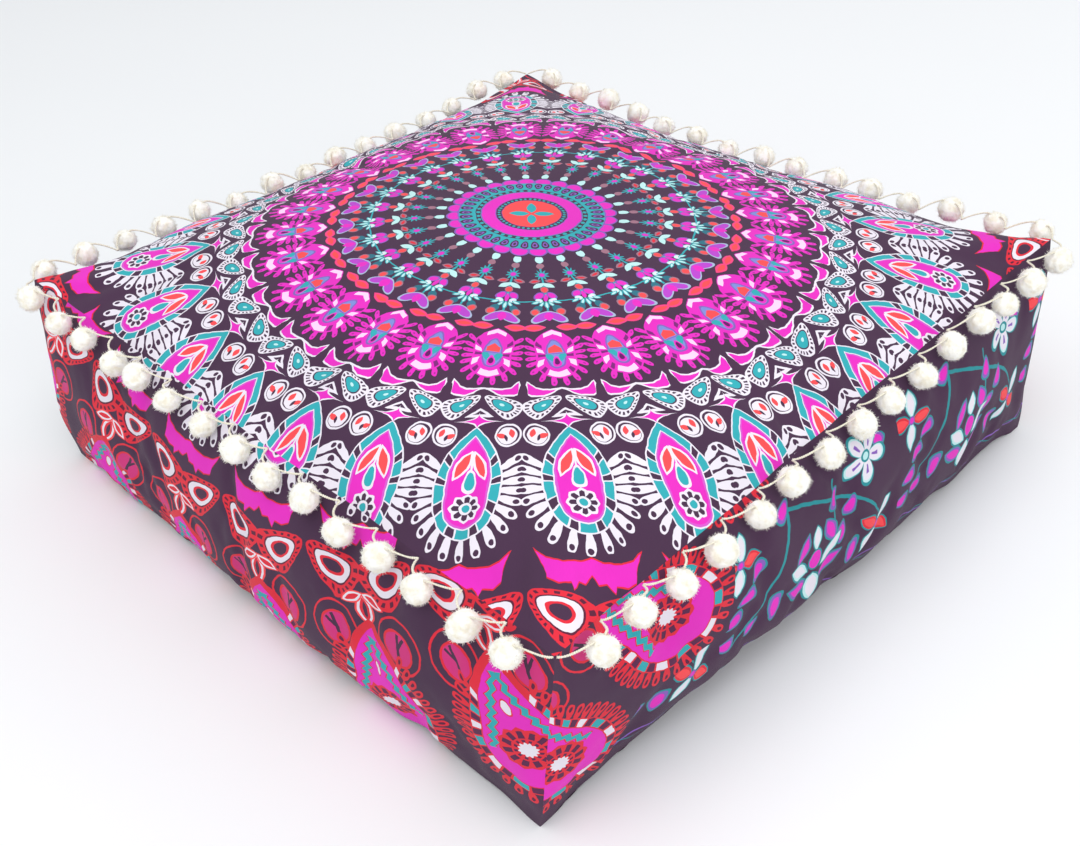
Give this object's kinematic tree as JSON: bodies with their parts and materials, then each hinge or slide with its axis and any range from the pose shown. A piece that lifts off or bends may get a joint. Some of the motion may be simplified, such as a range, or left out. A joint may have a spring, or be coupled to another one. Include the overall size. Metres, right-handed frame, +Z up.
{
  "type": "floor cushion",
  "caption": "Square boxed floor cushion with a domed top, printed cotton cover, swinging pom-pom trim along the top seam and a working zip low in the back side.",
  "frame": {"origin": "middle of the base, on the floor", "axes": "+Z up, +X towards the right side, -Y towards the front side; the zip is in the back side (+Y)"},
  "size_m": [0.664, 0.664, 0.2324],
  "materials": {
    "printed_cotton": "printed plain-weave cotton, matt",
    "plain_cotton": "plain dyed cotton, matt",
    "lining_cloth": "unbleached lining cloth",
    "filling_fibre": "loose polyester fibre",
    "pom_wool": "fuzzy cut yarn, ivory",
    "trim_cord": "twisted cotton cord, ivory",
    "zip_tape": "woven zip tape",
    "zip_coil": "nylon coil",
    "zip_metal": "nickel-plated zinc"
  },
  "bodies": {
    "cover": {"top_panel": "printed_cotton", "bottom_panel": "plain_cotton", "front_side_panel": "printed_cotton", "right_side_panel": "printed_cotton", "back_side_panel": "printed_cotton", "left_side_panel": "printed_cotton", "inner_bag": "lining_cloth", "filling": "filling_fibre", "zip_tape_upper": "zip_tape", "zip_tape_lower": "zip_tape", "zip_coil_upper": "zip_coil", "zip_coil_lower": "zip_coil", "zip_end_stops": "zip_metal"},
    "zip_slider": {"zip_slider": "zip_metal"},
    "zip_pull": {"zip_pull": "zip_metal"},
    "front_pom_row_1": {"front_poms_1": "pom_wool", "front_pom_cord_1": "trim_cord"},
    "front_pom_row_2": {"front_poms_2": "pom_wool", "front_pom_cord_2": "trim_cord"},
    "front_pom_row_3": {"front_poms_3": "pom_wool", "front_pom_cord_3": "trim_cord"},
    "right_pom_row_1": {"right_poms_1": "pom_wool", "right_pom_cord_1": "trim_cord"},
    "right_pom_row_2": {"right_poms_2": "pom_wool", "right_pom_cord_2": "trim_cord"},
    "right_pom_row_3": {"right_poms_3": "pom_wool", "right_pom_cord_3": "trim_cord"},
    "back_pom_row_1": {"back_poms_1": "pom_wool", "back_pom_cord_1": "trim_cord"},
    "back_pom_row_2": {"back_poms_2": "pom_wool", "back_pom_cord_2": "trim_cord"},
    "back_pom_row_3": {"back_poms_3": "pom_wool", "back_pom_cord_3": "trim_cord"},
    "left_pom_row_1": {"left_poms_1": "pom_wool", "left_pom_cord_1": "trim_cord"},
    "left_pom_row_2": {"left_poms_2": "pom_wool", "left_pom_cord_2": "trim_cord"},
    "left_pom_row_3": {"left_poms_3": "pom_wool", "left_pom_cord_3": "trim_cord"}
  },
  "joints": [
    {"name": "zip_slide", "type": "slide", "parent": "cover", "child": "zip_slider", "axis": [1, 0, 0], "range_m": [0, 0.3868]},
    {"name": "zip_pull_flip", "type": "hinge", "parent": "zip_slider", "child": "zip_pull", "pos_m": [-0.1934, 0.32863, 0.078], "axis": [0, 0, 1], "range_deg": [0, 170]},
    {"name": "front_pom_swing_1", "type": "hinge", "parent": "cover", "child": "front_pom_row_1", "pos_m": [-0.20333, -0.30322, 0.17822], "axis": [-0.9997, -0.0175, 0.0175], "range_deg": [0, 60]},
    {"name": "front_pom_swing_2", "type": "hinge", "parent": "cover", "child": "front_pom_row_2", "pos_m": [0, -0.30144, 0.17644], "axis": [-1, 0, 0], "range_deg": [0, 60]},
    {"name": "front_pom_swing_3", "type": "hinge", "parent": "cover", "child": "front_pom_row_3", "pos_m": [0.20333, -0.30322, 0.17822], "axis": [-0.9997, 0.0175, -0.0175], "range_deg": [0, 60]},
    {"name": "right_pom_swing_1", "type": "hinge", "parent": "cover", "child": "right_pom_row_1", "pos_m": [0.30322, -0.20333, 0.17644], "axis": [0.0175, -0.9992, 0.0349], "range_deg": [0, 60]},
    {"name": "right_pom_swing_2", "type": "hinge", "parent": "cover", "child": "right_pom_row_2", "pos_m": [0.30144, 0, 0.17289], "axis": [0, -1, 0], "range_deg": [0, 60]},
    {"name": "right_pom_swing_3", "type": "hinge", "parent": "cover", "child": "right_pom_row_3", "pos_m": [0.30322, 0.20333, 0.17644], "axis": [-0.0175, -0.9992, -0.0349], "range_deg": [0, 60]},
    {"name": "back_pom_swing_1", "type": "hinge", "parent": "cover", "child": "back_pom_row_1", "pos_m": [0.20333, 0.30322, 0.17289], "axis": [0.9974, 0.0174, 0.0698], "range_deg": [0, 60]},
    {"name": "back_pom_swing_2", "type": "hinge", "parent": "cover", "child": "back_pom_row_2", "pos_m": [0, 0.30144, 0.16578], "axis": [1, 0, 0], "range_deg": [0, 60]},
    {"name": "back_pom_swing_3", "type": "hinge", "parent": "cover", "child": "back_pom_row_3", "pos_m": [-0.20333, 0.30322, 0.17289], "axis": [0.9974, -0.0174, -0.0698], "range_deg": [0, 60]},
    {"name": "left_pom_swing_1", "type": "hinge", "parent": "cover", "child": "left_pom_row_1", "pos_m": [-0.30322, 0.20333, 0.17556], "axis": [-0.0175, 0.9989, 0.0437], "range_deg": [0, 60]},
    {"name": "left_pom_swing_2", "type": "hinge", "parent": "cover", "child": "left_pom_row_2", "pos_m": [-0.30144, 0, 0.17111], "axis": [0, 1, 0], "range_deg": [0, 60]},
    {"name": "left_pom_swing_3", "type": "hinge", "parent": "cover", "child": "left_pom_row_3", "pos_m": [-0.30322, -0.20333, 0.17556], "axis": [0.0175, 0.9989, -0.0437], "range_deg": [0, 60]}
  ]
}
